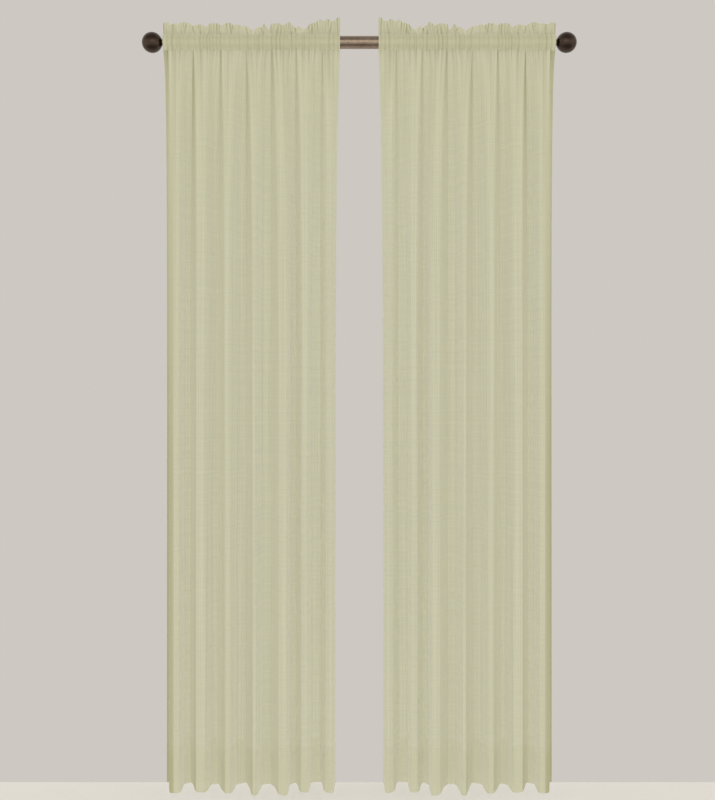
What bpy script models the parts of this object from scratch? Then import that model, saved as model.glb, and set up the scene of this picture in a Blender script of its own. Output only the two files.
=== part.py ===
"""A pair of sheer rod-pocket curtain panels on one round metal rod, with a turned finial at each end.

Metres, +Z up. The origin is on the rod's axis, midway between the panels. The front of the curtain faces -Y.
"""

import math

import bmesh
import bpy
import numpy as np

MM = 0.001
FIT_GAP = 0.3 * MM

# Rod and finials
ROD_RADIUS = 17.5 * MM
ROD_HALF_LENGTH = 534.5 * MM
TUBE_WALL = 1.5 * MM
ROUND_SEGMENTS = 32
PLUG_LENGTH = 25 * MM
SHOULDER_LENGTH = 2 * MM
NECK_RADIUS = 8.2 * MM
BEAD_RADIUS = 9.2 * MM
NECK_LENGTH = 6 * MM
BEAD_SPAN = (0.35, 0.65)
BALL_RADIUS = 28 * MM
BALL_STEPS = 10

# Cloth. The gathers of the pocket come round by their own turn, in radians, from column to column.
CLOTH_THICKNESS = 2 * MM
POCKET_RADIUS = ROD_RADIUS + FIT_GAP + CLOTH_THICKNESS
TOP_SEAM_HEIGHT = 21 * MM
LOWER_SEAM_HEIGHT = -23.5 * MM
HEM_HEIGHT = -2049 * MM
GATHER_DEPTH = 2.2 * MM
GATHER_TURN = 2.4
GATHER_DRIFT = 0.9
GATHER_DRIFT_TURN = 0.7
FOLD_GROWTH = 0.25

# Just under the pocket, in mm, and how much a full-grown fold's front swells past a straight line
SEAM_BACK = 3
SEAM_FRONT = 7
CREST_SWELL = 7
SHARPEST_CORNER = 0.6
CUTTER_OVERRUN = 20 * MM

# Each fold of the left panel, in mm. x runs to the right and y to the back. The fold leaves its crease, rises
# forward to its front face, crosses it and falls to the back again, where the next crease follows.
FOLDS = (
    # seam_crease_x, crease_x, crease_y,
    # front_left_x, front_left_y, front_right_x, front_right_y, back_x, back_y
    (-525.8, -531, 40, -516, -33, -488, -37, -482, 31),
    (-456.5, -468, 39, -447, -24, -419, -32, -405, 24),
    (-381.4, -393, 31, -367, -36, -347, -42, -337, 28),
    (-309.7, -316, 39, -289, -56, -276, -52, -266, 28),
    (-241.5, -247, 31, -221, -42, -196, -58, -191, 24),
    (-172.7, -179, 37, -161, -26, -139, -32, -132, 42),
    (-102.6, -109, 45, -95, -23, -73, -39, -67.5, 42),
)

# The panel's two side edges, in mm.
OUTER_EDGE = {"seam": (-538.2, -1), "hem": (-534, 42)}
INNER_EDGE = {"seam": (-53.1, 1)}

# How far along each stretch of a fold the columns of the mesh stand, and how far a fold has come by then.
RISE_STEPS = ((0.0, 0.0), (0.36, 0.24), (0.7, 0.66))
HALF_STEPS = ((0.0, 0.0), (0.5, 0.5))

# A fold's nine columns just under the pocket: a sharp rise from the crease, then a long easy fall to the next.
SEAM_COLUMNS = (
    # share of the fold's width, how far forward
    (0.0, 0.0),
    (0.03, 0.3),
    (0.06, 0.65),
    (0.11, 0.92),
    (0.3, 1.0),
    (0.5, 0.92),
    (0.68, 0.7),
    (0.85, 0.35),
    (0.94, 0.12),
)

# The frilled heading's top edge on the left panel, in mm: its peaks come forward and its notches lie back.
HEADING = (
    # x, height, y
    (-538, 53, -4),
    (-521, 47, 5),
    (-493, 53, -11),
    (-474, 53, -10),
    (-457, 46, 7),
    (-446, 49, -5),
    (-419, 45, 6),
    (-413, 50, -8),
    (-386, 50, -9),
    (-378, 46, 6),
    (-371, 51, -11),
    (-350, 51, -12),
    (-342, 49, -2),
    (-306, 46, 5),
    (-296, 32, 10),
    (-281, 43, 0),
    (-262, 50, -10),
    (-249, 33, 10),
    (-243, 49, -7),
    (-202, 49, -6),
    (-191, 53, -12),
    (-177, 40, 8),
    (-167, 46, -2),
    (-156, 36, 9),
    (-145, 40, 2),
    (-133, 50, -7),
    (-119, 51, -5),
    (-105, 59, -10),
    (-86, 62, -12),
    (-70, 59, -9),
    (-53, 65, -13),
)

# Where rows of the mesh lie: distances below the lower seam, angles round the pocket, shares of the heading.
BODY_ROWS_MM = (2025, 1780, 1480, 1180, 900, 660, 460, 310, 200, 125, 70, 30, 0)
POCKET_ROWS_DEG = (-68, -46, -23, 0, 23, 46, 68)
HEADING_ROWS = (0.0, 0.35, 0.7, 1.0)


def clear_scene():
    for obj in list(bpy.data.objects):
        bpy.data.objects.remove(obj, do_unlink=True)


def collection(name, hidden=False):
    made = bpy.data.collections.new(name)
    bpy.context.scene.collection.children.link(made)
    made.hide_render = hidden
    return made


def material(name, colour, roughness, metallic):
    made = bpy.data.materials.new(name)
    made.use_nodes = True
    shader = made.node_tree.nodes["Principled BSDF"]
    shader.inputs["Base Color"].default_value = (*colour, 1)
    shader.inputs["Roughness"].default_value = roughness
    shader.inputs["Metallic"].default_value = metallic
    return made


def add_object(name, bm, home, finish=None):
    bmesh.ops.recalc_face_normals(bm, faces=bm.faces[:])
    mesh = bpy.data.meshes.new(name)
    bm.to_mesh(mesh)
    bm.free()
    if finish:
        mesh.materials.append(finish)
    obj = bpy.data.objects.new(name, mesh)
    home.objects.link(obj)
    return obj


def lathe(profile, side=1):
    """A closed ring of (x, radius) points turned round the X axis."""
    bm = bmesh.new()
    points = [bm.verts.new((side * x, 0, radius)) for x, radius in profile]
    edges = [bm.edges.new((points[i - 1], points[i])) for i in range(len(points))]
    bmesh.ops.spin(
        bm, geom=points + edges, cent=(0, 0, 0), axis=(1, 0, 0), angle=2 * math.pi, steps=ROUND_SEGMENTS,
        use_merge=True,
    )
    bmesh.ops.remove_doubles(bm, verts=bm.verts[:], dist=0.001 * MM)
    bmesh.ops.dissolve_degenerate(bm, dist=0.001 * MM, edges=bm.edges[:])
    return bm


def rod(home, finish):
    """A plain round tube."""
    inside = ROD_RADIUS - TUBE_WALL
    profile = (
        (-ROD_HALF_LENGTH, ROD_RADIUS),
        (ROD_HALF_LENGTH, ROD_RADIUS),
        (ROD_HALF_LENGTH, inside),
        (-ROD_HALF_LENGTH, inside),
    )
    add_object("rod", lathe(profile), home, finish)


def finial(name, side, home, finish):
    """A plug that sits in the tube, a shoulder against its end, a beaded neck and a ball."""
    plug_radius = ROD_RADIUS - TUBE_WALL - FIT_GAP
    seat = ROD_HALF_LENGTH + FIT_GAP
    neck = seat + SHOULDER_LENGTH
    ball = neck + NECK_LENGTH
    reach = math.sqrt(BALL_RADIUS**2 - NECK_RADIUS**2)
    profile = [
        (ROD_HALF_LENGTH - PLUG_LENGTH, 0),
        (ROD_HALF_LENGTH - PLUG_LENGTH, plug_radius),
        (seat, plug_radius),
        (seat, ROD_RADIUS),
        (neck, ROD_RADIUS),
        (neck, NECK_RADIUS),
        (neck + BEAD_SPAN[0] * NECK_LENGTH, BEAD_RADIUS),
        (neck + BEAD_SPAN[1] * NECK_LENGTH, BEAD_RADIUS),
    ]
    first = math.atan2(NECK_RADIUS, reach)
    for i in range(BALL_STEPS):
        angle = first + (math.pi - first) * i / BALL_STEPS
        profile.append((ball + reach - BALL_RADIUS * math.cos(angle), BALL_RADIUS * math.sin(angle)))
    profile.append((ball + reach + BALL_RADIUS, 0))
    add_object(name, lathe(profile, side), home, finish)


def stretch(start, end, steps, swell=0.0):
    """Columns from one (x, y) of a section towards the next, which is left for the stretch after it."""
    points = []
    for along, come in steps:
        x = start[0] + (end[0] - start[0]) * along
        y = start[1] + (end[1] - start[1]) * come - swell * math.sin(math.pi * along)
        points.append((x, y))
    return points


def hem_section():
    """The (x, y) of each column where the folds are full grown."""
    columns = [OUTER_EDGE["hem"]]
    for i, fold in enumerate(FOLDS):
        crease, front_left, front_right, back = fold[1:3], fold[3:5], fold[5:7], fold[7:9]
        columns += stretch(crease, front_left, RISE_STEPS)
        columns += stretch(front_left, front_right, HALF_STEPS, CREST_SWELL)
        columns += stretch(front_right, back, HALF_STEPS)
        if i + 1 < len(FOLDS):
            columns += stretch(back, FOLDS[i + 1][1:3], HALF_STEPS)
        else:
            columns.append(back)
    return np.array(columns) * MM


def seam_section():
    """The (x, y) of each column just under the pocket, where the cloth is gathered nearly flat."""
    columns = [OUTER_EDGE["seam"]]
    ends = [fold[0] for fold in FOLDS[1:]] + [INNER_EDGE["seam"][0]]
    for fold, end in zip(FOLDS, ends):
        for share, forward in SEAM_COLUMNS:
            y = SEAM_BACK - (SEAM_BACK + SEAM_FRONT) * forward
            columns.append((fold[0] + (end - fold[0]) * share, y))
    columns[len(hem_section()) - 1 :] = [INNER_EDGE["seam"]]
    return np.array(columns) * MM


def gathers(count):
    """How far out each column of the gathered pocket stands, from 0 to 1."""
    i = np.arange(count)
    return 0.5 - 0.5 * np.cos(GATHER_TURN * i + GATHER_DRIFT * np.sin(GATHER_DRIFT_TURN * i))


def sheet():
    """The middle of the cloth, a row at a time from the hem up, and half its thickness there.

    In the pocket the two layers of cloth part round the rod, so the half thickness there is the pocket's own.
    """
    hem, seam = hem_section(), seam_section()
    count = len(hem)
    x, gather = seam[:, 0], gathers(len(hem))
    middles, halves = [], []
    full = BODY_ROWS_MM[0] * MM
    for below in BODY_ROWS_MM:
        grown = (1 - math.exp(-below * MM / FOLD_GROWTH)) / (1 - math.exp(-full / FOLD_GROWTH))
        section = seam + (hem - seam) * grown
        height = LOWER_SEAM_HEIGHT + (HEM_HEIGHT - LOWER_SEAM_HEIGHT) * below * MM / full
        middles.append(np.column_stack([section, np.full(count, height)]))
        halves.append(np.full(count, CLOTH_THICKNESS / 2))
    for degrees in POCKET_ROWS_DEG:
        angle = math.radians(degrees)
        out = POCKET_RADIUS + GATHER_DEPTH * gather * math.cos(angle)
        middles.append(np.column_stack([x, np.zeros(count), np.full(count, POCKET_RADIUS * math.sin(angle))]))
        halves.append(out * math.cos(angle))
    table = np.array(HEADING) * MM
    top = np.interp(x, table[:, 0], table[:, 1])
    lean = np.interp(x, table[:, 0], table[:, 2])
    for share in HEADING_ROWS:
        height = TOP_SEAM_HEIGHT + (top - TOP_SEAM_HEIGHT) * share
        middles.append(np.column_stack([x, lean * share, height]))
        halves.append(np.full(count, CLOTH_THICKNESS / 2))
    return np.array(middles), np.array(halves)


def unit(vectors):
    return vectors / np.linalg.norm(vectors, axis=-1, keepdims=True)


def outward(middles):
    """The way from the middle of the cloth to its back, longer at corners, where it keeps the thickness."""
    steps = unit(np.diff(middles, axis=1))
    before = np.concatenate([steps[:, :1], steps], axis=1)
    after = np.concatenate([steps, steps[:, -1:]], axis=1)
    along = before + after
    square = np.linalg.norm(along, axis=2, keepdims=True) / 2
    up = unit(np.gradient(middles, axis=0))
    return unit(np.cross(up, unit(along))) / np.clip(square, SHARPEST_CORNER, 1)


def layers():
    middles, halves = sheet()
    away = outward(middles)
    body, pocket = len(BODY_ROWS_MM), len(POCKET_ROWS_DEG)
    away[body : body + pocket] = (0, 1, 0)
    offset = away * halves[:, :, None]
    offset[-1, :, 2] = 0
    offset[0, :, 2] = 0
    return middles - offset, middles + offset


def panel(name, side, home, finish, tunnel):
    """One length of cloth: body, pocket and heading, with the tunnel for the rod cut through."""
    bm = bmesh.new()
    borders = []
    for layer in layers():
        rows, columns = layer.shape[0] - 1, layer.shape[1] - 1
        made = bmesh.ops.create_grid(bm, x_segments=columns, y_segments=rows, size=1)
        for vert in made["verts"]:
            column = round((vert.co.x + 1) / 2 * columns)
            row = round((vert.co.y + 1) / 2 * rows)
            x, y, z = layer[row, column]
            vert.co = (side * x, y, z)
        borders += {edge for vert in made["verts"] for edge in vert.link_edges if edge.is_boundary}
    bmesh.ops.bridge_loops(bm, edges=borders)
    bmesh.ops.triangulate(bm, faces=bm.faces[:], quad_method="SHORT_EDGE")
    obj = add_object(name, bm, home, finish)
    cut = obj.modifiers.new("tunnel", "BOOLEAN")
    cut.operation = "DIFFERENCE"
    cut.solver = "EXACT"
    cut.object = tunnel


def tunnel_cutter(home):
    """The rod's own shape, wider by the fit."""
    reach = ROD_HALF_LENGTH + CUTTER_OVERRUN
    radius = ROD_RADIUS + FIT_GAP
    profile = ((-reach, 0), (-reach, radius), (reach, radius), (reach, 0))
    cutter = add_object("tunnel_cutter", lathe(profile), home)
    cutter.hide_render = True
    cutter.display_type = "WIRE"
    return cutter


def main():
    clear_scene()
    home = collection("curtain_panel_pair_on_a_rod")
    helpers = collection("cutters", hidden=True)
    cloth = material("sheer_cloth", (0.50, 0.51, 0.24), 0.9, 0.0)
    bronze = material("rod_bronze", (0.16, 0.105, 0.07), 0.35, 1.0)
    dark_bronze = material("finial_bronze", (0.05, 0.03, 0.017), 0.4, 1.0)
    tunnel = tunnel_cutter(helpers)
    rod(home, bronze)
    for name, side in (("left", 1), ("right", -1)):
        panel("panel_" + name, side, home, cloth, tunnel)
        finial("finial_" + name, -side, home, dark_bronze)


main()
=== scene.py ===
"""A pair of sheer rod-pocket curtain panels on one bronze rod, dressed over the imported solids.

Metres, +Z up. The origin is on the rod's axis, midway between the panels. The front of the curtain faces -Y.
"""

import math

import bmesh
import bpy
import numpy as np
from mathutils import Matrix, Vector


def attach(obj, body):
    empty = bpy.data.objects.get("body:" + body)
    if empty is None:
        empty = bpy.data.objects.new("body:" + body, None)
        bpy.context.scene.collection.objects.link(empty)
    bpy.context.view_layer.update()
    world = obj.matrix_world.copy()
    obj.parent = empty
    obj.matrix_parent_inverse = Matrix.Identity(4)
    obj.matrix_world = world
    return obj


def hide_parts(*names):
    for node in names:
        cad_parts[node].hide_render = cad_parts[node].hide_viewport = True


MM = 0.001

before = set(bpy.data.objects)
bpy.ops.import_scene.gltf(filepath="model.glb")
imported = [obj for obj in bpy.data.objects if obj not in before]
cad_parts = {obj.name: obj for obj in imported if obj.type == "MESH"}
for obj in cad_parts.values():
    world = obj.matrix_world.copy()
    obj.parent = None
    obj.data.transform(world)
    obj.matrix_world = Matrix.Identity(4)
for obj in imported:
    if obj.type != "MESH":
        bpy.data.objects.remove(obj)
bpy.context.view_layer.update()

# Cloth as it was cut and sewn
CUT_WIDTH = 1.50
BODY_DROP = 2.0255
POCKET_FLAT = 0.057
HEADING_FLAT = 0.036
HEM_DEPTH = 0.120
SIDE_HEM = 0.014

# Lockstitch, with three quarters of each stitch on top. Its thread is 0.3 mm thick. It is drawn 0.9 mm wide,
# because a finer one doesn't show.
STITCH = 0.003
STITCH_SHOWN = 0.75
THREAD_DRAWN = 0.9 * MM

# Weave. Its threads are 0.25 mm apart. They are drawn 2 mm apart, because finer ones don't show. A wave
# texture at scale 1 repeats every tau / 20 of a metre.
WEAVE_DRAWN = 2 * MM
WEAVE_SCALE = math.tau / 20 / WEAVE_DRAWN

# Where the sewn cloth hangs
LOWER_SEAM = -23.5 * MM
TOP_SEAM = 21 * MM
POCKET_RADIUS = 19.2 * MM
POCKET_ANGLE = 80
BEHIND_SEAM = 0.9 * MM

# Mesh of one panel
COLUMNS = 640
BODY_ROWS = 96
POCKET_ROWS = 12
HEADING_ROWS = 10
FIRST_HEADING_ROW = BODY_ROWS + POCKET_ROWS + 1

# Each fold of the left panel, in mm. x runs to the right and y to the back. The fold leaves its crease, rises
# forward to its front face, crosses it and falls to the back again, where the next crease follows.
FOLDS = (
    # x of the crease at the seam, then x and y at the hem of crease, front left, front right and back
    (-525.8, -531, 40, -516, -33, -488, -37, -482, 31),
    (-456.5, -468, 39, -447, -24, -419, -32, -405, 24),
    (-381.4, -393, 31, -367, -36, -347, -42, -337, 28),
    (-309.7, -316, 39, -289, -56, -276, -52, -266, 28),
    (-241.5, -247, 31, -221, -42, -196, -58, -191, 24),
    (-172.7, -179, 37, -161, -26, -139, -32, -132, 42),
    (-102.6, -109, 45, -95, -23, -73, -39, -64, 42),
)
OUTER_EDGE = {"seam": (-538.2, -1), "hem": (-537, 42)}
INNER_EDGE = {"seam": (-53.1, 1)}

# How a fold goes from each of its corners to the next, as (way along, share come)
RISE_STEPS = ((0.0, 0.0), (0.36, 0.24), (0.7, 0.66))
HALF_STEPS = ((0.0, 0.0), (0.5, 0.5))
CREST_SWELL = 7

# A fold's nine columns just under the pocket: a sharp rise out of the crease and a long easy fall to the next
SEAM_COLUMNS = (
    # share of the fold's width, how far forward
    (-0.015, 0.0),
    (0.0, 0.3),
    (0.015, 0.65),
    (0.035, 0.92),
    (0.26, 1.0),
    (0.5, 0.92),
    (0.68, 0.7),
    (0.85, 0.35),
    (0.94, 0.12),
)
SEAM_BACK = 3
SEAM_FRONT = 7

# How far below the pocket the folds grow, and how the outer edge is drawn in there
FOLD_GROWTH = 0.25
EDGE_DRAW = 3 * MM
EDGE_DRAW_START = 0.03
EDGE_DRAW_REACH = 0.8
EDGE_DRAW_WIDTH = 0.012

# How thick and how darkly painted each fold's crease is, from the outer edge inwards: partly more cloth, partly
# painted shade
CREASE_LAYER_AND_SHADE_WEIGHTS = (1, 1.6, 1.05, 1.2, 0.75, 0.7, 0.6)

# How thick the cloth over the rod is before it counts as folded on itself, going up the pocket. It paints the
# rod's own highlight and dark bands onto the cloth as they would show through it: painted reflection and shade
POCKET_ROD_BANDS_PAINTED = (
    # share of the way up from the lower seam, thicknesses
    (0, 1.76), (0.21, 1.5), (0.43, 1.61), (0.7, 1.3), (1, 1.41),
)

# Thicknesses that a crease adds, which also paint it darker as painted shade: halfway down, what more by the
# pocket, fading over a reach in metres, and what more by the hem
CREASE_LAYERS_AND_SHADE = 0.65
CREASE_MORE_ABOVE = 0.65
CREASE_REACH = 0.35
CREASE_MORE_BELOW = 0.4

# Thicknesses that the stitching adds just under the pocket, fading over a reach in metres, and that a valley
# between its small pleats adds, which also paints the valley darker as painted shade
DRAWN_LAYERS = 0.65
DRAWN_REACH = 0.15
VALLEY_LAYERS_AND_SHADE = 0.8

# How many times thicker the turned hems look than the cloth beside them, and how deep the bottom one looks
HEM_LAYERS = 1.7
SIDE_HEM_LAYERS = 1.9
HEM_FOLDED = 0.07

# Thicknesses past smooth cloth at which it is fully folded on itself and fully painted in shade
FULL_FOLD_SHADE = 2.2

# Small pleats that the stitching draws up, and the soft waves of the cloth below them
GATHER_WIDTHS = (0.0055, 0.0155)
GATHER_HEIGHT = 2.6 * MM
FRONT_POCKET_SWELL = 1.5 * MM
BACK_POCKET_SWELL = 1.6 * MM
WAVE_HEIGHT = 0.8 * MM
WAVE_COUNT = 5

# A pucker's width in mm at the pocket, and what it gains in each reach. Its left and right sides are in widths,
# and it drifts and widens for so many reaches.
PUCKER_WIDTH = 2.2
PUCKER_SPREAD = 3.5
PUCKER_LEFT = 2.6
PUCKER_RIGHT = 0.8
PUCKER_END = 1.5

# Puckers that run down from the pocket of the left panel between the main creases
PUCKERS = (
    # x in mm at the pocket, reach in mm, depth in mm, drift in mm to the right at its end
    (-505.4, 520, 5.0, 2),
    (-492.3, 110, 4.0, 0),
    (-475.2, 50, 4.0, -2),
    (-443.6, 140, 3.5, 0),
    (-432.0, 280, 5.0, 2),
    (-402.3, 190, 3.5, -2),
    (-359.7, 280, 4.5, -3),
    (-348.7, 160, 3.5, 0),
    (-296.5, 220, 4.0, 10),
    (-278.6, 190, 3.5, 0),
    (-255.2, 70, 4.0, 0),
    (-229.9, 130, 4.0, 2),
    (-208.7, 320, 5.0, 0),
    (-192.2, 230, 4.0, -2),
    (-154.3, 130, 4.0, 0),
    (-138.3, 50, 3.5, 2),
    (-119.0, 90, 3.0, 0),
    (-95.2, 70, 3.5, 0),
    (-86.0, 140, 4.0, 2),
    (-77.0, 90, 3.5, 0),
    (-67.4, 100, 3.5, 0),
)

# The frilled heading's top edge on the left panel: peaks stand forward, notches lie back.
HEADING_EDGE = (
    # x in mm, height in mm
    (-538.2, 52), (-525.8, 56), (-518.7, 46), (-509.9, 53), (-497.5, 50), (-492.3, 53), (-479.9, 56),
    (-469.2, 53), (-458.4, 44), (-448.8, 49), (-432.0, 49), (-424.9, 44), (-418.6, 40), (-414.2, 52),
    (-387.8, 52), (-382.3, 47), (-375.1, 46), (-366.3, 53), (-351.2, 54), (-348.7, 46), (-334.4, 50),
    (-322.0, 45), (-302.5, 43), (-297.3, 31), (-292.1, 31), (-277.8, 45), (-270.3, 39), (-260.7, 54),
    (-256.9, 44), (-248.1, 30), (-243.4, 51), (-218.9, 53), (-209.6, 45), (-201.6, 52), (-191.4, 57),
    (-182.6, 44), (-175.5, 38), (-166.9, 47), (-155.9, 34), (-143.3, 40), (-137.0, 51), (-119.4, 54),
    (-113.3, 60), (-106.2, 64), (-99.0, 56), (-85.5, 66), (-76.7, 57), (-65.7, 60), (-58.6, 71),
    (-53.1, 67),
)
HEADING_MIDDLE = 47
LEAN_FOR_HEIGHT = 0.8
MOST_LEAN = 12
FALL_OF_LEAN = 0.34
HEADING_AIR = 0.6
HEADING_BELLY = 1.2
FRILL_PITCH = 8
FRILL_HEIGHT = 2.0 * MM
EDGE_SOFTENING = 3.5
EDGE_TURN = (0, 0.7 * MM, 0.5 * MM)
EDGE_TURN_LENGTH = 1 * MM

# Rod and finials
ROD_RADIUS = 17.5 * MM
ROD_HALF_LENGTH = 534.5 * MM
TUBE_INSIDE = 16 * MM
PLUG_RADIUS = 15.7 * MM
PLUG_END = ROD_HALF_LENGTH - 25 * MM
FINIAL_SEAT = ROD_HALF_LENGTH + 0.3 * MM
ROD_EDGE_ROUND = 0.4 * MM
FINIAL_EDGE_ROUND = 0.5 * MM
SHARP_EDGE = 35
SHOULDER_RADIUS = ROD_RADIUS - 0.2 * MM
NECK_START = FINIAL_SEAT + 2 * MM
NECK_RADIUS = 8.2 * MM
GROOVE_RADIUS = NECK_RADIUS - 0.4 * MM
BEAD_RADIUS = 9.2 * MM
BALL_START = NECK_START + 6 * MM
BALL_RADIUS = 28 * MM
BALL_STEPS = 32
TURNED_STEPS = 96

# Studio
FLOOR_HALF_SIZE = (4, 2)
FLOOR_BACK = 0.081
FLOOR_LEVEL = -2.062
MIRRORED_TONES = (
    # share of the way up, colour
    (0.06, "#807770"), (0.14, "#908881"), (0.22, "#d9d4cb"),
    (0.3, "#fffbf2"), (0.64, "#fffbf2"), (0.77, "#b3ada5"),
)
CAMERA_AT = (-0.005, -3.0, -0.983)
CAMERA_LENS = 49.1
CAMERA_SENSOR = 36


def linear(hex_colour):
    """An sRGB hex value such as "#c4c19e" as the linear colour that Blender's sockets take."""
    parts = [int(hex_colour[i : i + 2], 16) / 255 for i in (1, 3, 5)]
    return tuple(c / 12.92 if c <= 0.04045 else ((c + 0.055) / 1.055) ** 2.4 for c in parts) + (1.0,)


def add_node(tree, kind, links=None, **settings):
    """A node of this kind with its settings. An input gets a value, a socket or a node's live output."""
    node = tree.nodes.new(kind)
    for name, value in settings.items():
        setattr(node, name, value)
    for socket, value in (links or {}).items():
        if isinstance(value, bpy.types.Node):
            value = next(output for output in value.outputs if output.enabled)
        if isinstance(value, bpy.types.NodeSocket):
            tree.links.new(value, node.inputs[socket])
        else:
            node.inputs[socket].default_value = value
    return node


def new_material(name):
    """An empty material with its node tree."""
    made = bpy.data.materials.new(name)
    made.use_nodes = True
    made.node_tree.nodes.clear()
    return made, made.node_tree


def finish_material(tree, shader):
    add_node(tree, "ShaderNodeOutputMaterial", {"Surface": shader})


def stitches(tree, cloth):
    """Where sewing thread lies: dashes along both seams of the pocket, the bottom hem and the side hems."""
    axes = add_node(tree, "ShaderNodeSeparateXYZ", {"Vector": cloth})
    across, along = axes.outputs["X"], axes.outputs["Y"]
    level = (HEM_DEPTH, BODY_DROP, BODY_DROP + POCKET_FLAT, BODY_DROP + POCKET_FLAT + 2 * HEADING_FLAT)
    upright = (SIDE_HEM, CUT_WIDTH - SIDE_HEM)
    lines = None
    for over, way, at in [(along, across, at) for at in level] + [(across, along, at) for at in upright]:
        line = add_node(tree, "ShaderNodeMath", {0: over, 1: at, 2: THREAD_DRAWN / 2}, operation="COMPARE")
        turn = add_node(tree, "ShaderNodeMath", {0: way, 1: STITCH}, operation="FLOORED_MODULO")
        dash = add_node(tree, "ShaderNodeMath", {0: turn, 1: STITCH * STITCH_SHOWN}, operation="LESS_THAN")
        sewn = add_node(tree, "ShaderNodeMath", {0: line, 1: dash}, operation="MULTIPLY")
        lines = sewn if lines is None else add_node(
            tree, "ShaderNodeMath", {0: lines, 1: sewn}, operation="MAXIMUM",
        )
    return lines


def uneven_yarn(tree, cloth):
    """Long faint streaks down the cloth and fainter ones across it."""
    streaks = []
    for scale in ((190, 1.2, 1), (2.0, 150, 1)):
        place = add_node(tree, "ShaderNodeMapping", {"Vector": cloth, "Scale": scale})
        streaks.append(add_node(tree, "ShaderNodeTexNoise", {"Vector": place, "Scale": 1.0, "Detail": 3.0}))
    return add_node(tree, "ShaderNodeMath", {0: streaks[1], 1: 0.35, 2: streaks[0]}, operation="MULTIPLY_ADD")


def plain_weave(tree, cloth):
    """Threads that run down and across the cloth, one over the other."""
    threads = []
    for direction in ("X", "Y"):
        wave = add_node(
            tree, "ShaderNodeTexWave", {"Vector": cloth, "Scale": WEAVE_SCALE}, bands_direction=direction,
        )
        threads.append(wave.outputs["Fac"])
    return add_node(tree, "ShaderNodeMath", {0: threads[0], 1: threads[1]}, operation="MULTIPLY")


def voile_colour(tree, yarn, layers, thread):
    """Pale olive beige. Cloth in two or more thicknesses is a little greyer. Where it is folded on itself it is
    deeper, partly because less light comes through and partly as painted shade, which also darkens its creases,
    pleat valleys, puckers and bands over the rod. Sewing thread matches the cloth."""
    tone = add_node(tree, "ShaderNodeMapRange", {"Value": yarn, "From Min": 0.5, "From Max": 0.85})
    doubled = add_node(tree, "ShaderNodeMapRange", {"Value": layers, "From Min": 1.25, "From Max": 2.1})
    fold_and_shade = add_node(tree, "ShaderNodeAttribute", attribute_name="fold_and_shade").outputs["Fac"]
    colour = linear("#c7c7a1")
    # 9f9c6d is painted shade: the deep olive of creases, pleat valleys, puckers and the bands over the rod
    for share, towards in ((tone, "#d1d1ae"), (doubled, "#d0cfb3"), (fold_and_shade, "#9f9c6d"), (thread, "#c0bd97")):
        colour = add_node(
            tree, "ShaderNodeMix", {"Factor": share, "A": colour, "B": linear(towards)}, data_type="RGBA",
        )
    return colour


def voile_cover(tree, yarn, weave, layers, thread):
    """How much the cloth hides. One thickness lets about a third through, and more of them that share to the
    power of how many the eye looks through. Voile passes on most of the light that its threads catch. So it
    throws only a pale shadow on itself, and the rod inside its pocket still mirrors the studio."""
    clear = add_node(tree, "ShaderNodeMapRange", {
        "Value": yarn, "From Min": 0.45, "From Max": 0.9, "To Min": 0.35, "To Max": 0.27,
    })
    threaded = add_node(tree, "ShaderNodeMath", {0: weave, 1: -0.05, 2: clear}, operation="MULTIPLY_ADD")
    through = add_node(tree, "ShaderNodeMath", {0: threaded, 1: layers}, operation="POWER")
    bare = add_node(tree, "ShaderNodeMath", {0: 1.0, 1: through}, operation="SUBTRACT")
    cover = add_node(tree, "ShaderNodeMath", {0: bare, 1: thread}, operation="MAXIMUM")
    path = add_node(tree, "ShaderNodeLightPath")
    indirect = path.outputs["Is Shadow Ray"]
    for ray in ("Is Diffuse Ray", "Is Glossy Ray"):
        indirect = add_node(tree, "ShaderNodeMath", {0: indirect, 1: path.outputs[ray]}, operation="MAXIMUM")
    pale = add_node(tree, "ShaderNodeMath", {0: indirect, 1: -0.9, 2: 1.0}, operation="MULTIPLY_ADD")
    return add_node(tree, "ShaderNodeMath", {0: cover, 1: pale}, operation="MULTIPLY")


def polyester_voile():
    """Plain-woven sheer polyester voile: fine hard-twisted threads with air between, so what is behind shows
    through, softer and greener where the cloth stands edge-on or lies in more than one layer, and painted a
    deeper olive in its creases as painted shade."""
    made, tree = new_material("polyester_voile")
    cloth = add_node(tree, "ShaderNodeUVMap", uv_map="cloth").outputs["UV"]
    layers = add_node(tree, "ShaderNodeAttribute", attribute_name="layers").outputs["Fac"]
    yarn, weave, thread = uneven_yarn(tree, cloth), plain_weave(tree, cloth), stitches(tree, cloth)
    relief = add_node(tree, "ShaderNodeMath", {0: weave, 1: yarn}, operation="ADD")
    bump = add_node(tree, "ShaderNodeBump", {"Height": relief, "Strength": 0.15, "Distance": 0.0002})
    shader = add_node(tree, "ShaderNodeBsdfPrincipled", {
        "Base Color": voile_colour(tree, yarn, layers, thread),
        "Alpha": voile_cover(tree, yarn, weave, layers, thread),
        "Roughness": 0.75,
        "Specular IOR Level": 0.25,
        "Sheen Weight": 0.15,
        "Sheen Roughness": 0.4,
        "Normal": bump,
    })
    finish_material(tree, shader)
    return made


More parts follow.
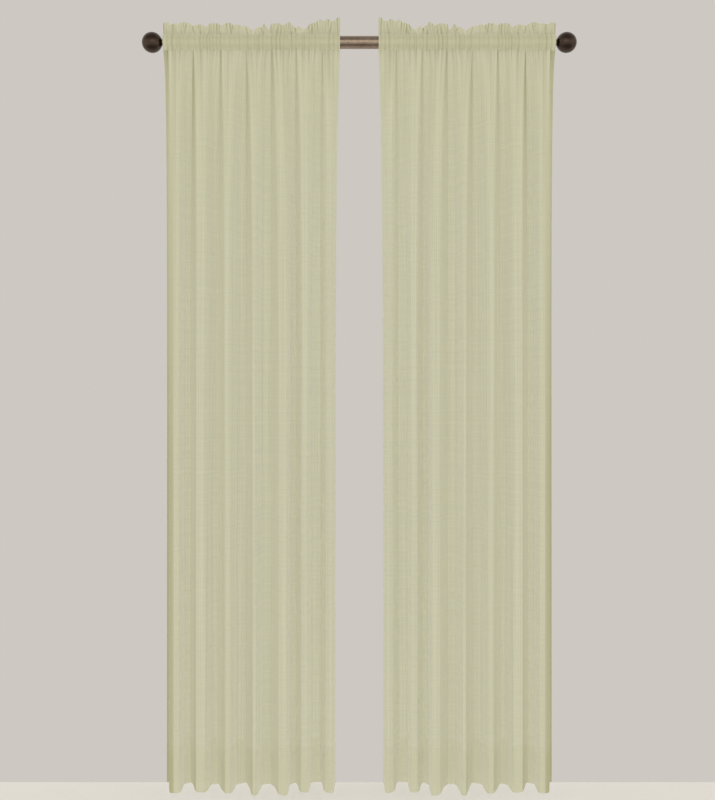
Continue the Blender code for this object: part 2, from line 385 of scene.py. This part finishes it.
def lacquered_bronze(name, dark, light, roughness):
    """Brown bronze lacquer over metal: a smooth dark coat with fine cloudy flake and soft highlights."""
    made, tree = new_material(name)
    place = add_node(tree, "ShaderNodeTexCoord").outputs["Object"]
    cloud = add_node(tree, "ShaderNodeTexNoise", {"Vector": place, "Scale": 60.0, "Detail": 6.0})
    flake = add_node(tree, "ShaderNodeTexNoise", {"Vector": place, "Scale": 900.0, "Detail": 2.0})
    both = add_node(tree, "ShaderNodeMath", {0: cloud, 1: flake}, operation="MULTIPLY")
    share = add_node(tree, "ShaderNodeMapRange", {"Value": both, "From Min": 0.1, "From Max": 0.4})
    colour = add_node(
        tree, "ShaderNodeMix", {"Factor": share, "A": linear(dark), "B": linear(light)}, data_type="RGBA",
    )
    rough = add_node(tree, "ShaderNodeMapRange", {
        "Value": cloud, "From Min": 0.3, "From Max": 0.7,
        "To Min": roughness - 0.04, "To Max": roughness + 0.06,
    })
    bump = add_node(tree, "ShaderNodeBump", {"Height": flake, "Strength": 0.1, "Distance": 0.00005})
    shader = add_node(tree, "ShaderNodeBsdfPrincipled", {
        "Base Color": colour,
        "Metallic": 0.85,
        "Roughness": rough,
        "Coat Weight": 0.3,
        "Coat Roughness": 0.15,
        "Normal": bump,
    })
    finish_material(tree, shader)
    return made


def studio_floor():
    """Pale matt studio floor, rolled on, with a very faint mottle."""
    made, tree = new_material("matt_studio_floor")
    place = add_node(tree, "ShaderNodeTexCoord").outputs["Object"]
    mottle = add_node(tree, "ShaderNodeTexNoise", {"Vector": place, "Scale": 3.0, "Detail": 4.0})
    colour = add_node(
        tree, "ShaderNodeMix", {"Factor": mottle, "A": linear("#e6e2dc"), "B": linear("#ece9e4")},
        data_type="RGBA",
    )
    shader = add_node(tree, "ShaderNodeBsdfPrincipled", {"Base Color": colour, "Roughness": 0.85})
    finish_material(tree, shader)
    return made


def smooth_through(at_keys, keys, at):
    """A smooth line through the keys, read at other places along it."""
    slope = np.gradient(keys, at_keys, axis=0)
    i = np.clip(np.searchsorted(at_keys, at, side="right") - 1, 0, len(at_keys) - 2)
    width = (at_keys[i + 1] - at_keys[i])[:, None]
    t = (at - at_keys[i])[:, None] / width
    start, end = keys[i], keys[i + 1]
    return (
        start * (2 * t**3 - 3 * t**2 + 1) + slope[i] * width * (t**3 - 2 * t**2 + t)
        + end * (3 * t**2 - 2 * t**3) + slope[i + 1] * width * (t**3 - t**2)
    )


def stretch(start, end, steps, swell=0.0):
    """Points on the way from one corner of a fold to the next, without the next corner itself."""
    points = []
    for along, come in steps:
        x = start[0] + (end[0] - start[0]) * along
        y = start[1] + (end[1] - start[1]) * come - swell * math.sin(math.pi * along)
        points.append((x, y))
    return points


def hem_keys():
    """The main points of the cloth's line across the panel where its folds are full-grown."""
    points = [OUTER_EDGE["hem"]]
    for i, fold in enumerate(FOLDS):
        crease, front_left, front_right, back = fold[1:3], fold[3:5], fold[5:7], fold[7:9]
        points += stretch(crease, front_left, RISE_STEPS)
        points += stretch(front_left, front_right, HALF_STEPS, CREST_SWELL)
        points += stretch(front_right, back, HALF_STEPS)
        if i + 1 < len(FOLDS):
            points += stretch(back, FOLDS[i + 1][1:3], HALF_STEPS)
        else:
            points.append(back)
    return np.array(points) * MM


def seam_keys(count):
    """The same points just under the pocket. The last fold has fewer, because the inner edge ends it."""
    points = [OUTER_EDGE["seam"]]
    ends = [fold[0] for fold in FOLDS[1:]] + [INNER_EDGE["seam"][0]]
    for fold, end in zip(FOLDS, ends):
        for share, forward in SEAM_COLUMNS:
            points.append((fold[0] + (end - fold[0]) * share, SEAM_BACK - (SEAM_BACK + SEAM_FRONT) * forward))
    points[count - 1 :] = [INNER_EDGE["seam"]]
    return np.array(points) * MM


def run_along(line):
    """How far along the line each of its points lies."""
    return np.concatenate([[0], np.cumsum(np.linalg.norm(np.diff(line, axis=0), axis=1))])


def key_places():
    """How far across the cloth each key of the two sections lies, from 0 to 1."""
    hem = run_along(hem_keys())
    seam = run_along(seam_keys(len(hem)))
    return 0.5 * hem / hem[-1] + 0.5 * seam / seam[-1]


def sections():
    """The cloth's line across the panel at full-grown folds and at the pocket, column by column, and how far
    across the cut width each column lies."""
    hem = hem_keys()
    seam = seam_keys(len(hem))
    at_keys = key_places()
    at = np.linspace(0, 1, COLUMNS + 1)
    hem, seam = smooth_through(at_keys, hem, at), smooth_through(at_keys, seam, at)
    run = run_along(hem)
    return hem, seam, run / run[-1] * CUT_WIDTH


class Gathers:
    """Small pleats drawn up by the stitching, each with its own width, height and reach."""

    def __init__(self, rng, edges):
        self.edges = np.array(edges)
        self.heights = rng.uniform(0.15, 1.0, len(edges))
        self.reaches = rng.uniform(0.02, 0.11, len(edges))

    def at(self, x, reach=0.0):
        """From -1 at the bottom of a pleat to 1 on its ridge, fading with the distance from the stitching."""
        return (1 - 2 * (1 - self.swell(x)) ** 1.5) * self.strength(x, reach)

    def valleys(self, x, reach=0.0):
        """From 0 on the pleats to 1 in the narrow valleys between them."""
        return (1 - self.swell(x)) ** 2 * self.strength(x, reach)

    def swell(self, x):
        return np.abs(np.sin(math.pi * np.interp(x, self.edges, np.arange(len(self.edges)))))

    def strength(self, x, reach):
        fade = np.exp(-reach / np.interp(x, self.edges, self.reaches))
        return np.interp(x, self.edges, self.heights) * fade


def drawn_up(rng, low, high):
    """Where the small pleats of a gathering thread begin and end."""
    edges = [low]
    while edges[-1] < high:
        edges.append(edges[-1] + rng.uniform(*GATHER_WIDTHS))
    return edges


def frill_notches(rng):
    """Where the heading's frill is notched: at each low point of its edge and about a pitch apart between."""
    low_points = [HEADING_EDGE[0][0]]
    for (_, before), (x, height), (_, after) in zip(HEADING_EDGE, HEADING_EDGE[1:], HEADING_EDGE[2:]):
        if height < before and height <= after:
            low_points.append(x)
    low_points.append(HEADING_EDGE[-1][0])
    edges = []
    for start, end in zip(low_points, low_points[1:]):
        count = max(1, round((end - start) / FRILL_PITCH))
        for i in range(count):
            stray = rng.uniform(-0.2, 0.2) if i else 0
            edges.append((start + (end - start) * (i + stray) / count) * MM)
    return edges + [low_points[-1] * MM]


def pucker_dip(x, below):
    """How far back the cloth lies in the puckers: each drops gently on its left and comes up sharply on its
    right. It widens and drifts as it fades."""
    dip = np.zeros_like(x)
    for at, reach, depth, drift in PUCKERS:
        gone = below / (reach * MM)
        fade = math.exp(-(gone**1.6)) * depth * MM
        apart = x - (at + drift * min(gone, PUCKER_END)) * MM
        width = (PUCKER_WIDTH + PUCKER_SPREAD * min(gone, PUCKER_END)) * MM
        left, right = np.exp(apart / (PUCKER_LEFT * width)), np.exp(-apart / (PUCKER_RIGHT * width))
        dip += fade * np.where(apart < 0, left, right)
    return dip


def soft_waves(rng, count):
    """A few long shallow waves across the cloth, which keep its faces from being ruled straight. Each is its
    pitch, start, size and turn."""
    return [
        (rng.uniform(25, 70), rng.uniform(0, math.tau), rng.uniform(0.3, 1.3), rng.uniform(0.4, 1.2))
        for _ in range(count)
    ]


def to_the_front(section):
    """The way to the front at each column, square to the cloth's line."""
    along = np.gradient(section, axis=0)
    along /= np.linalg.norm(along, axis=1, keepdims=True)
    return np.column_stack([along[:, 1], -along[:, 0]])


def body_rows(hem, seam, run, front, waves):
    """From the hem up to the pocket, with how far up the cut length each row lies."""
    x = seam[:, 0]
    full = 1 - math.exp(-BODY_DROP / FOLD_GROWTH)
    rows, lengths = [], []
    for i in range(BODY_ROWS, -1, -1):
        below = BODY_DROP * (i / BODY_ROWS) ** 1.5
        grown = (1 - math.exp(-below / FOLD_GROWTH)) / full
        line = seam + (hem - seam) * grown
        out = GATHER_HEIGHT * front.at(x, below) - pucker_dip(x, below)
        for pitch, start, size, turn in waves:
            out += WAVE_HEIGHT * size * grown * np.sin(run * pitch + start + below * turn)
        line = line + to_the_front(line) * out[:, None]
        drawn = EDGE_DRAW * (1 - math.exp(-below / EDGE_DRAW_START)) * math.exp(-below / EDGE_DRAW_REACH)
        line[:, 0] += drawn * np.exp((x[0] - x) / EDGE_DRAW_WIDTH)
        rows.append(np.column_stack([line, np.full(len(x), LOWER_SEAM - below)]))
        lengths.append(BODY_DROP - below)
    return rows, lengths


def round_rod(x, degrees, gathers, swell):
    """How far out from the rod's axis and how far up the pocket's cloth lies at this angle round it."""
    angle = math.radians(degrees)
    radius = POCKET_RADIUS + swell * (1 + gathers.at(x)) * math.cos(angle) ** 0.5
    return radius * math.cos(angle), radius * math.sin(angle)


def pocket_front(x, seam_y, front):
    """Up over the front of the rod, from the lower seam's line to a round one within three rows."""
    rows = []
    for i in range(1, POCKET_ROWS + 1):
        degrees = -POCKET_ANGLE + 2 * POCKET_ANGLE * i / (POCKET_ROWS + 1)
        out, z = round_rod(x, degrees, front, FRONT_POCKET_SWELL)
        blend = min(i / 2.5, 1)
        rows.append(np.column_stack([x, seam_y * (1 - blend) - out * blend, z]))
    return rows


def pocket_back(x, seam_y, back):
    """Down behind the rod, and at last to the lower seam, just behind the body's cloth."""
    rows = []
    for i in range(1, POCKET_ROWS + 1):
        degrees = POCKET_ANGLE - 2 * POCKET_ANGLE * i / (POCKET_ROWS + 1)
        rows.append(np.column_stack([x, *round_rod(x, degrees, back, BACK_POCKET_SWELL)]))
    rows.append(np.column_stack([x, seam_y + BEHIND_SEAM, np.full(len(x), LOWER_SEAM)]))
    return rows


def frilled_edge(x, frill):
    """The height of the heading's top edge, and how far it leans to the back."""
    table = np.array(HEADING_EDGE)
    top = np.interp(x, table[:, 0] * MM, table[:, 1]) * MM
    soft = np.exp(-((np.arange(-9, 10) / EDGE_SOFTENING) ** 2))
    top = np.convolve(np.pad(top, 9, mode="edge"), soft / soft.sum(), mode="valid")
    top += FRILL_HEIGHT * frill.at(x)
    lean = -np.clip((top / MM - HEADING_MIDDLE) * LEAN_FOR_HEIGHT, -MOST_LEAN, MOST_LEAN) * MM
    return top + FALL_OF_LEAN * lean, lean


def heading_pleats(x, share, front, frill):
    """How far forward the heading's cloth stands, as (pleats, valleys): the pocket's pleats die out as they
    go up, and the frill's come in. They lean to the left and right, because nothing holds their tops."""
    up = share * HEADING_FLAT
    fan = (6 * np.sin(x * 95) + 3 * np.sin(x * 260)) * share * MM
    from_top = (5 * np.sin(x * 130 + 1) + 3 * np.sin(x * 310)) * (1 - share) * MM
    pleats = 1.8 * front.at(x + fan, up) + 2.6 * share**0.7 * frill.at(x + from_top)
    valleys = 0.8 * front.valleys(x + fan, up) + share**0.7 * frill.valleys(x + from_top)
    return pleats * MM, valleys


def heading_row(x, share, edge, pleats, side):
    """One row of the heading, on its front (side -1) or its back (side 1), with a little air between them."""
    top, lean = edge
    y = lean * share**1.3 + pleats + side * (HEADING_AIR + HEADING_BELLY * math.sin(math.pi * share)) * MM
    return np.column_stack([x, y, TOP_SEAM + (top - TOP_SEAM) * share])


def panel_rows(front, back, frill, waves):
    """Every row of the cloth, from the hem up the front, over the heading's edge and down behind the rod,
    with how far along the cut length it lies, and how far across the cut width each column lies."""
    hem, seam, run = sections()
    x = seam[:, 0]
    rows, lengths = body_rows(hem, seam, run, front, waves)
    seam_y = rows[-1][:, 1]
    pocket_lengths = [POCKET_FLAT * i / (POCKET_ROWS + 1) for i in range(1, POCKET_ROWS + 2)]
    rows += pocket_front(x, seam_y, front)
    lengths += [BODY_DROP + length for length in pocket_lengths[:-1]]

    edge = frilled_edge(x, frill)
    shares = [i / HEADING_ROWS for i in range(HEADING_ROWS + 1)]
    for share in shares:
        pleats, _ = heading_pleats(x, share, front, frill)
        rows.append(heading_row(x, share, edge, pleats, -1))
        lengths.append(BODY_DROP + POCKET_FLAT + HEADING_FLAT * share)
    rows.append(rows[-1] + np.array(EDGE_TURN))
    over_edge = lengths[-1] + EDGE_TURN_LENGTH
    lengths.append(over_edge)
    for share in reversed(shares):
        pleats, _ = heading_pleats(x, share, front, frill)
        pleats += back.at(x) * 0.5 * math.sin(math.pi * share) * MM
        rows.append(heading_row(x, share, edge, pleats, 1))
        lengths.append(over_edge + HEADING_FLAT * (1 - share))

    rows += pocket_back(x, seam_y, back)
    lengths += [over_edge + HEADING_FLAT + length for length in pocket_lengths]
    return np.array(rows), np.array(lengths), run


def crease_layers_and_shade(at):
    """From 0 on a fold's face to 1 in its crease, as (line, band, edge): a thin line by the pocket, a band on
    the steep rise out of the crease where the folds have grown, and a wide band at the outer edge, which is
    turned back. They thicken the cloth and paint it darker: painted shade, darkest on the rise, which is turned
    away from the light."""
    keys = key_places()
    line, band = np.zeros_like(at), np.zeros_like(at)
    for i, deep in enumerate(CREASE_LAYER_AND_SHADE_WEIGHTS):
        first = i * len(SEAM_COLUMNS)
        before, crease, crest, middle = keys[[first, first + 1, first + 4, first + 5]]
        start = crease * 0.5 + before * 0.5
        ends = [start, crease, crease * 0.4 + crest * 0.6, crest * 0.95 + middle * 0.05]
        line += deep * np.interp(at, ends, [0 if i else 1, 1, 1, 0])
        if i:
            ends = [start, crease, crest, crest * 0.65 + middle * 0.35]
            band += deep * np.interp(at, ends, [0, 0.5, 1, 0])
        else:
            edge = np.interp(at, [crest, crest * 0.2 + middle * 0.8, middle], [1, 0.75, 0])
    return line, band, edge


def turned_away(section):
    """From 0 where the cloth faces the front to 1 where it runs straight back, seen through slantwise."""
    step = np.gradient(section, axis=0)
    return 1 - np.abs(step[:, 0]) / np.linalg.norm(step, axis=1)


def body_thickness(x, section, below, front, creases):
    """As thicknesses() says, for a row of the body. The creases are thickest and painted darkest by the pocket
    and by the hem, and the stitching draws the cloth up just below the pocket. Creases, the turned-back outer
    edge, pleat valleys and puckers all get painted shade."""
    line, band, edge = creases
    young = math.exp(-below / FOLD_GROWTH)
    drawn = math.exp(-below / DRAWN_REACH)
    depth = CREASE_LAYERS_AND_SHADE + CREASE_MORE_ABOVE * math.exp(-below / CREASE_REACH)
    depth += CREASE_MORE_BELOW * (below / BODY_DROP) ** 3
    # Creases and the turned-back outer edge add thickness, which also paints them darker: painted shade
    thick = 1 + (line * young + band * (1 - young)) * depth
    thick += edge * (1 - young) * (0.45 + min(below, 1.15)) + 0.2 * turned_away(section)
    # Pleat valleys and puckers add thickness, which paints them darker: painted shade
    thick += DRAWN_LAYERS * drawn + VALLEY_LAYERS_AND_SHADE * front.valleys(x, below) + pucker_dip(x, below) / MM * 0.15
    return thick, 1.2 + 0.6 * drawn


def pocket_thickness(x, share, front):
    """As thicknesses() says, for a row of the pocket's front. The rod's highlight and dark bands are painted
    onto it through the smooth thickness: painted reflection and shade.
    """
    shares, smooth = zip(*POCKET_ROD_BANDS_PAINTED)
    return 1.85 + 1.4 * front.valleys(x), np.interp(share, shares, smooth)


def thicknesses(rows, lengths, run, front, back, frill):
    """How many thicknesses of cloth the eye looks through at each point, and how deep it is folded on itself
    and painted in shade, from 0 to 1. Each part of the cloth gives its thickness and the thickness up to which
    it is smooth."""
    x = rows[BODY_ROWS, :, 0]
    creases = crease_layers_and_shade(np.linspace(0, 1, COLUMNS + 1))
    layers, fold_and_shade = np.ones(rows.shape[:2]), np.zeros(rows.shape[:2])
    for i, length in enumerate(lengths):
        if i <= BODY_ROWS:
            thick, smooth = body_thickness(x, rows[i, :, :2], BODY_DROP - length, front, creases)
        elif i < FIRST_HEADING_ROW:
            thick, smooth = pocket_thickness(x, (length - BODY_DROP) / POCKET_FLAT, front)
        elif i <= FIRST_HEADING_ROW + HEADING_ROWS:
            _, valleys = heading_pleats(x, (i - FIRST_HEADING_ROW) / HEADING_ROWS, front, frill)
            # The frill's valleys are thicker than smooth cloth, so they are painted darker: painted shade
            thick, smooth = 1.9 + 2.8 * valleys, 2.1
        else:
            # Painted shade in the back's pleat valleys too
            thick, smooth = 1.2 + 0.7 * back.valleys(x), 1.2
        layers[i] = thick
        # Thickness past smooth cloth paints it darker: painted shade
        fold_and_shade[i] = np.clip((thick - smooth) / FULL_FOLD_SHADE, 0, 1)
    hem = (lengths < HEM_DEPTH)[:, None]
    sides = ((run < SIDE_HEM) | (run > CUT_WIDTH - SIDE_HEM))[None, :]
    layers *= np.where(hem, HEM_LAYERS, 1.0) * np.where(sides, SIDE_HEM_LAYERS, 1.0)
    return layers, fold_and_shade + np.where(hem, HEM_FOLDED, 0.0)


def cloth_grid(rows, lengths, run, layers, fold_and_shade, side):
    """The cloth as a grid of columns and rows, with its flat place as a UV map and its thickness."""
    bm = bmesh.new()
    uv = bm.loops.layers.uv.new("cloth")
    thickness = bm.verts.layers.float.new("layers")
    depth = bm.verts.layers.float.new("fold_and_shade")
    row_count = len(rows) - 1
    bmesh.ops.create_grid(bm, x_segments=COLUMNS, y_segments=row_count, size=1)
    place = {}
    for vert in bm.verts:
        column = round((vert.co.x + 1) / 2 * COLUMNS)
        row = round((vert.co.y + 1) / 2 * row_count)
        x, y, z = rows[row, column]
        vert.co = (side * x, y, z)
        vert[thickness] = layers[row, column]
        vert[depth] = fold_and_shade[row, column]
        place[vert] = (run[column], lengths[row])
    for face in bm.faces:
        face.smooth = True
        for loop in face.loops:
            loop[uv].uv = place[loop.vert]
    if side < 0:
        bmesh.ops.reverse_faces(bm, faces=bm.faces[:])
    return bm


def curtain_panel(name, side, voile):
    """One length of cloth: hem, body, pocket and frilled heading, turned over at the top."""
    rng = np.random.default_rng(7)
    low, high = OUTER_EDGE["seam"][0] * MM, INNER_EDGE["seam"][0] * MM
    front, back = Gathers(rng, drawn_up(rng, low, high)), Gathers(rng, drawn_up(rng, low, high))
    frill = Gathers(rng, frill_notches(rng))
    rows, lengths, run = panel_rows(front, back, frill, soft_waves(rng, WAVE_COUNT))
    layers, fold_and_shade = thicknesses(rows, lengths, run, front, back, frill)
    obj = add_piece(name, cloth_grid(rows, lengths, run, layers, fold_and_shade, side), voile)
    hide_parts(name.replace("cloth", "panel"))


def add_piece(name, bm, finish):
    """A piece with its finish. It rides on the body."""
    mesh = bpy.data.meshes.new(name)
    bm.to_mesh(mesh)
    bm.free()
    mesh.materials.append(finish)
    obj = bpy.data.objects.new(name, mesh)
    bpy.context.scene.collection.objects.link(obj)
    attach(obj, "root")
    return obj


def turned(name, profile, side, finish, closed=False):
    """A profile of (x, radius) points turned round the rod's axis."""
    bm = bmesh.new()
    points = [bm.verts.new((side * x, 0, radius)) for x, radius in profile]
    edges = [bm.edges.new(pair) for pair in zip(points, points[1:])]
    if closed:
        edges.append(bm.edges.new((points[-1], points[0])))
    bmesh.ops.spin(
        bm, geom=points + edges, cent=(0, 0, 0), axis=(1, 0, 0), angle=math.tau, steps=TURNED_STEPS,
        use_merge=True,
    )
    bmesh.ops.remove_doubles(bm, verts=bm.verts[:], dist=1e-6)
    bmesh.ops.dissolve_degenerate(bm, dist=1e-6, edges=bm.edges[:])
    bmesh.ops.recalc_face_normals(bm, faces=bm.faces[:])
    for face in bm.faces:
        face.smooth = True
    for edge in bm.edges:
        edge.smooth = len(edge.link_faces) == 2 and edge.calc_face_angle(0) < math.radians(SHARP_EDGE)
    return add_piece(name, bm, finish)


def rounded(points, radius, steps=3):
    """The profile with each inner corner cut by a short round."""
    made = [points[0]]
    for before, at, after in zip(points, points[1:], points[2:]):
        a, b, c = Vector(before), Vector(at), Vector(after)
        reach = min(radius, (a - b).length * 0.45, (c - b).length * 0.45)
        start, end = b + (a - b).normalized() * reach, b + (c - b).normalized() * reach
        for i in range(steps + 1):
            t = i / steps
            p = start * (1 - t) ** 2 + b * (2 * t * (1 - t)) + end * t**2
            made.append((p.x, p.y))
    made.append(points[-1])
    return made


def rod_tube(bronze):
    ends = [
        (-ROD_HALF_LENGTH, TUBE_INSIDE), (-ROD_HALF_LENGTH, ROD_RADIUS),
        (ROD_HALF_LENGTH, ROD_RADIUS), (ROD_HALF_LENGTH, TUBE_INSIDE),
    ]
    tube = turned("rod_tube", rounded(ends, ROD_EDGE_ROUND), 1, bronze, closed=True)
    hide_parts("rod")


def ball_finial(name, side, bronze):
    """Plug, shoulder, beaded neck and ball, all turned in one."""
    reach = math.sqrt(BALL_RADIUS**2 - NECK_RADIUS**2)
    centre = BALL_START + reach
    neck = [
        (PLUG_END, 0), (PLUG_END, PLUG_RADIUS), (FINIAL_SEAT, PLUG_RADIUS),
        (FINIAL_SEAT, SHOULDER_RADIUS), (NECK_START, SHOULDER_RADIUS), (NECK_START, NECK_RADIUS),
        (NECK_START + 1.8 * MM, GROOVE_RADIUS), (NECK_START + 2.4 * MM, BEAD_RADIUS),
        (NECK_START + 4.2 * MM, BEAD_RADIUS), (NECK_START + 4.8 * MM, GROOVE_RADIUS),
        (BALL_START, NECK_RADIUS),
    ]
    profile = rounded(neck, FINIAL_EDGE_ROUND)
    first = math.atan2(NECK_RADIUS, reach)
    for i in range(1, BALL_STEPS + 1):
        angle = first + (math.pi - first) * i / BALL_STEPS
        profile.append((centre - BALL_RADIUS * math.cos(angle), BALL_RADIUS * math.sin(angle)))
    profile[-1] = (profile[-1][0], 0)
    ball = turned(name, profile, side, bronze)
    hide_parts(name.replace("ball_", ""))


def floor(finish):
    """A pale floor that ends just behind the curtain."""
    half_width, half_depth = FLOOR_HALF_SIZE
    bm = bmesh.new()
    bmesh.ops.create_grid(bm, x_segments=1, y_segments=1, size=1)
    bmesh.ops.scale(bm, vec=(half_width, half_depth, 1), verts=bm.verts[:])
    bmesh.ops.translate(bm, vec=(0, FLOOR_BACK - half_depth, FLOOR_LEVEL), verts=bm.verts[:])
    mesh = bpy.data.meshes.new("floor")
    bm.to_mesh(mesh)
    bm.free()
    mesh.materials.append(finish)
    obj = bpy.data.objects.new("floor", mesh)
    obj.visible_glossy = obj.visible_diffuse = obj.visible_shadow = False
    bpy.context.scene.collection.objects.link(obj)


def highlight(name, at, towards, size, watts, colour):
    """A long soft box that only the metal mirrors."""
    data = bpy.data.lights.new(name, "AREA")
    data.shape = "RECTANGLE"
    data.size, data.size_y = size
    data.energy = watts
    data.color = linear(colour)[:3]
    obj = bpy.data.objects.new(name, data)
    obj.location = at
    obj.rotation_euler = (Vector(towards) - Vector(at)).to_track_quat("-Z", "Y").to_euler()
    obj.visible_camera = obj.visible_diffuse = False
    bpy.context.scene.collection.objects.link(obj)


def mirrored_studio(tree, axes, behind):
    """What metal mirrors: a pale studio in front, dimmer above and below, and an even one behind."""
    height = add_node(tree, "ShaderNodeMapRange", {"Value": axes.outputs["Z"], "From Min": -1, "From Max": 1})
    front = add_node(tree, "ShaderNodeValToRGB", {"Fac": height})
    ramp = front.color_ramp
    ramp.elements[0].color = linear("#a8948c")
    ramp.elements[1].color = linear("#9d978f")
    for place, colour in MIRRORED_TONES:
        ramp.elements.new(place).color = linear(colour)
    return add_node(
        tree, "ShaderNodeMix", {"Factor": behind, "A": front, "B": linear("#d6d2cd")}, data_type="RGBA",
    )


def studio():
    """A plain pale studio that lights the cloth evenly. Metal mirrors it dimmer above and below."""
    world = bpy.data.worlds.new("studio")
    world.use_nodes = True
    tree = world.node_tree
    tree.nodes.clear()
    way = add_node(tree, "ShaderNodeTexCoord").outputs["Generated"]
    axes = add_node(tree, "ShaderNodeSeparateXYZ", {"Vector": way})
    behind = add_node(
        tree, "ShaderNodeMapRange", {"Value": axes.outputs["Y"], "From Min": -0.1, "From Max": 0.1},
    )
    mirrored = mirrored_studio(tree, axes, behind)
    even = add_node(
        tree, "ShaderNodeMix", {"Factor": behind, "A": linear("#f9f7f2"), "B": linear("#f6f4ef")},
        data_type="RGBA",
    )
    path = add_node(tree, "ShaderNodeLightPath")
    lit = add_node(
        tree, "ShaderNodeMix", {"Factor": path.outputs["Is Glossy Ray"], "A": even, "B": mirrored},
        data_type="RGBA",
    )
    seen = add_node(
        tree, "ShaderNodeMix", {"Factor": path.outputs["Is Camera Ray"], "A": lit, "B": linear("#cdc8c2")},
        data_type="RGBA",
    )
    light = add_node(tree, "ShaderNodeBackground", {"Color": seen})
    add_node(tree, "ShaderNodeOutputWorld", {"Surface": light})
    bpy.context.scene.world = world
    bpy.context.scene.view_settings.view_transform = "Standard"
    highlight("high_front", (0.0, -1.8, 0.2), (0, 0, -0.2), (1.8, 0.35), 2.2, "#fff6ea")


def camera():
    data = bpy.data.cameras.new("camera")
    data.lens = CAMERA_LENS
    data.sensor_width = CAMERA_SENSOR
    obj = bpy.data.objects.new("camera", data)
    obj.location = CAMERA_AT
    obj.rotation_euler = (math.radians(90), 0, 0)
    bpy.context.scene.collection.objects.link(obj)
    bpy.context.scene.camera = obj


def main():
    voile = polyester_voile()
    rod_bronze = lacquered_bronze("lacquered_bronze_rod", "#857464", "#a69686", 0.2)
    finial_bronze = lacquered_bronze("rubbed_bronze_finial", "#2a1f17", "#4d3b2e", 0.34)
    rod_tube(rod_bronze)
    for name, side in (("left", 1), ("right", -1)):
        curtain_panel("cloth_" + name, side, voile)
        ball_finial("ball_finial_" + name, -side, finial_bronze)
    floor(studio_floor())
    studio()
    camera()


main()
